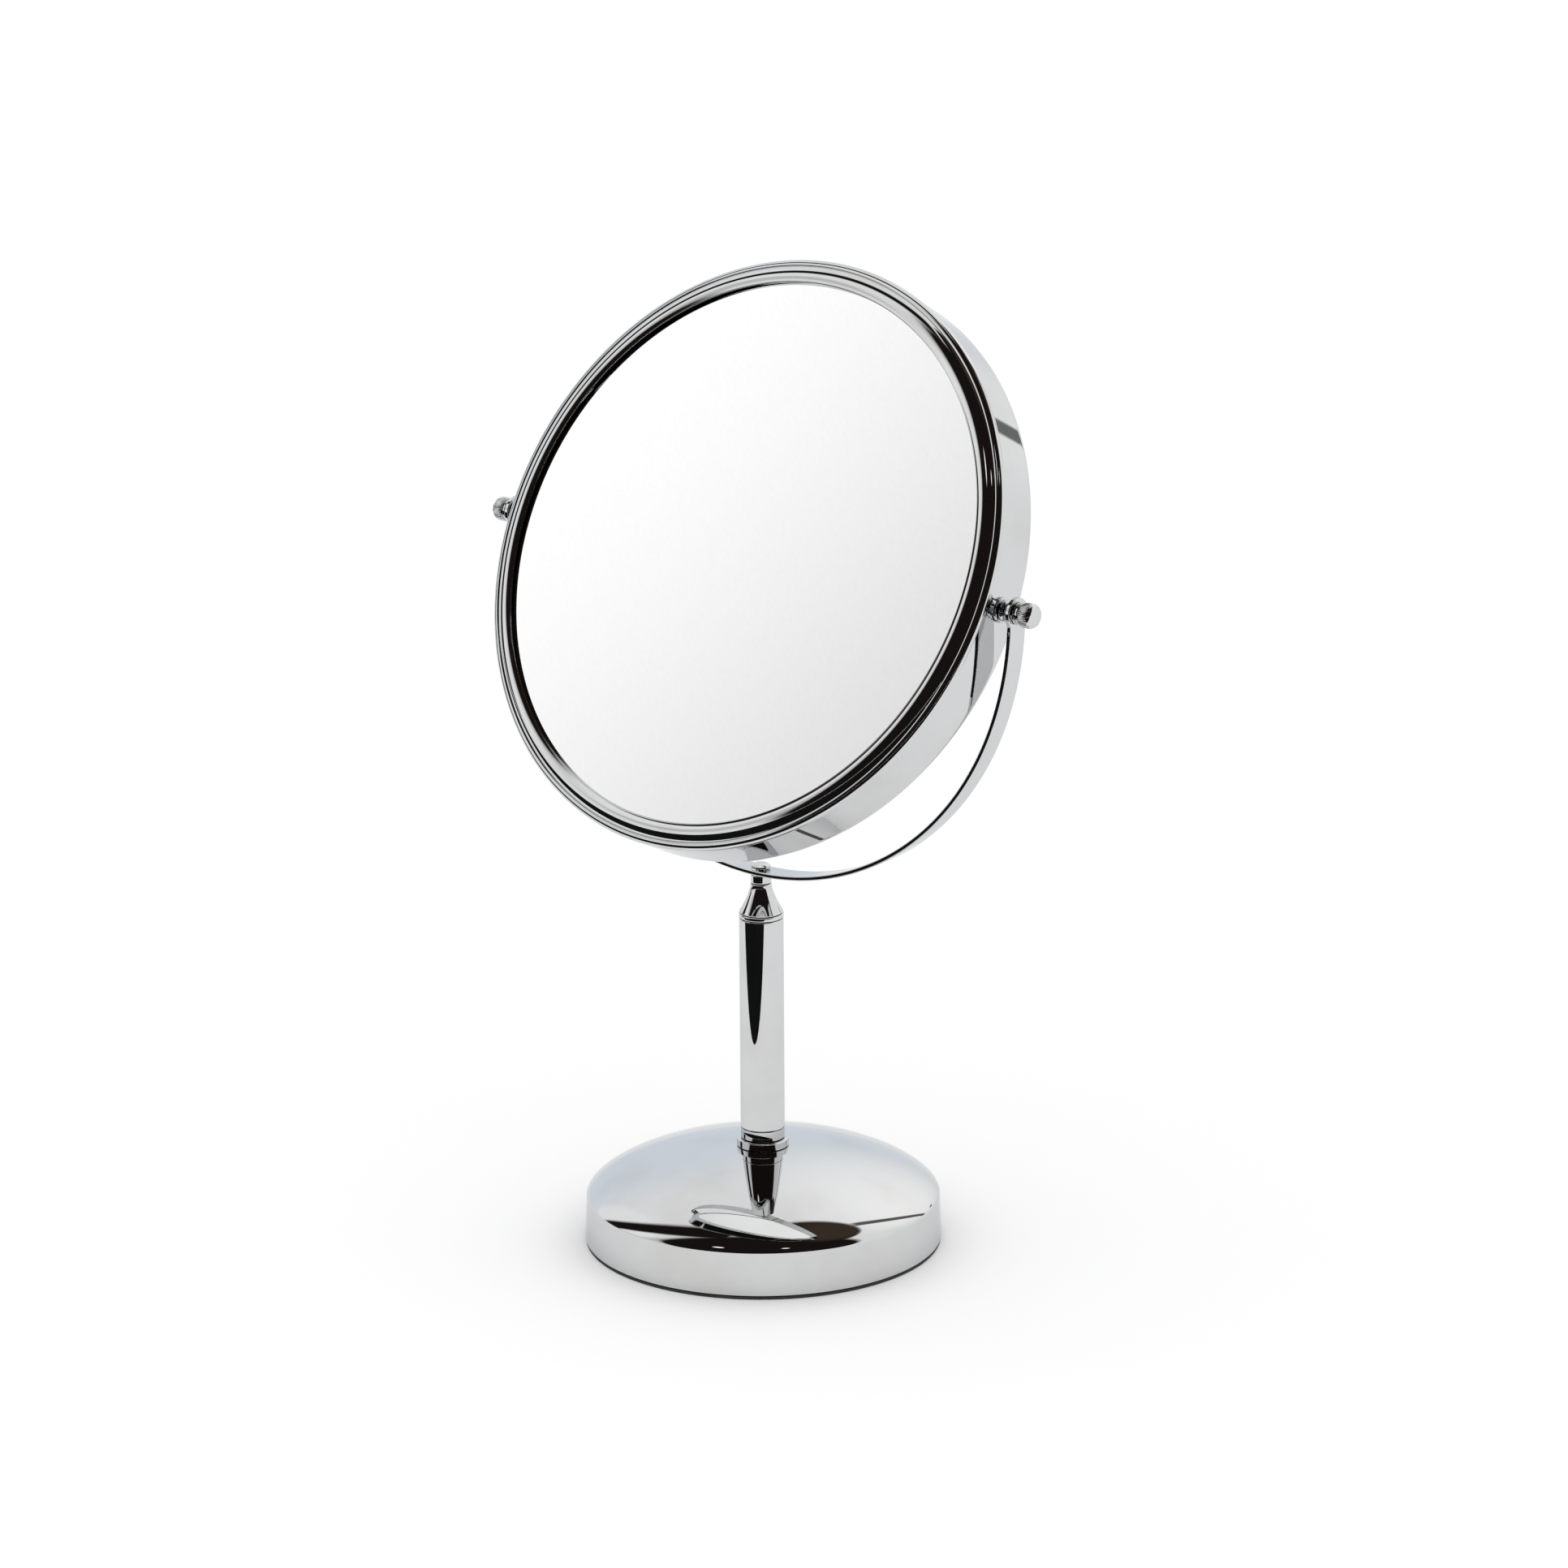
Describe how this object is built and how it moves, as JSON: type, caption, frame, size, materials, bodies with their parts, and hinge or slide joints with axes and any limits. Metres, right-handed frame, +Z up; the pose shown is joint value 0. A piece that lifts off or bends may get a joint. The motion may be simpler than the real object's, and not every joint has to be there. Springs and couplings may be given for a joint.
{
  "type": "extendable shaving mirror",
  "caption": "Free-standing round shaving mirror that tilts in a U-shaped yoke on a sliding column and a heavy domed base.",
  "frame": {"origin": "centre of the underside of the base, on the surface that the mirror stands on", "axes": "+Z up the column, X along the tilt axis through the two thumb knobs, -Y the way the mirror faces"},
  "size_m": [0.2862, 0.15, 0.4102],
  "materials": {
    "chrome": "mirror-polished chrome plate on steel and brass",
    "mirror_glass": "silvered glass",
    "steel": "plated steel",
    "cast_iron": "rough cast, out of sight",
    "rubber": "matt black foot pad",
    "plastic": "moulded, out of sight",
    "backing_board": "fibre board, out of sight"
  },
  "bodies": {
    "base": {"base_cover": "chrome", "base_pad": "rubber", "base_weight": "cast_iron", "tie_rod": "steel", "tie_washer": "steel", "tie_nut": "steel", "collar": "chrome", "foot_ferrule": "chrome", "outer_tube": "chrome", "guide_ring": "chrome"},
    "mast": {"inner_tube": "chrome", "slide_ring": "plastic", "upper_cone": "chrome", "neck_bush": "chrome", "yoke_screw": "steel"},
    "yoke": {"yoke": "chrome", "washer_right": "steel", "washer_left": "steel"},
    "head": {"head_shell": "chrome", "front_bezel": "chrome", "front_glass": "mirror_glass", "front_backing": "backing_board", "core_ring": "plastic", "rear_glass": "mirror_glass", "stud_right": "steel", "boss_right": "chrome", "inner_spacer_right": "chrome", "outer_spacer_right": "chrome", "stud_left": "steel", "boss_left": "chrome", "inner_spacer_left": "chrome", "outer_spacer_left": "chrome"},
    "knob_right": {"knob_right": "chrome"},
    "knob_left": {"knob_left": "chrome"}
  },
  "joints": [
    {"name": "column_slide", "type": "slide", "parent": "base", "child": "mast", "axis": [0, 0, 1], "range_m": [0, 0.055]},
    {"name": "yoke_swivel", "type": "hinge", "parent": "mast", "child": "yoke", "pos_m": [0, 0, 0.1606], "axis": [0, 0, 1], "continuous": true},
    {"name": "head_tilt", "type": "hinge", "parent": "yoke", "child": "head", "pos_m": [0, 0, 0.2943], "axis": [1, 0, 0], "continuous": true},
    {"name": "knob_right_turn", "type": "hinge", "parent": "head", "child": "knob_right", "pos_m": [0.1351, 0, 0.2943], "axis": [1, 0, 0], "range_deg": [0, 360]},
    {"name": "knob_left_turn", "type": "hinge", "parent": "head", "child": "knob_left", "pos_m": [-0.1351, 0, 0.2943], "axis": [-1, 0, 0], "range_deg": [0, 360]}
  ]
}
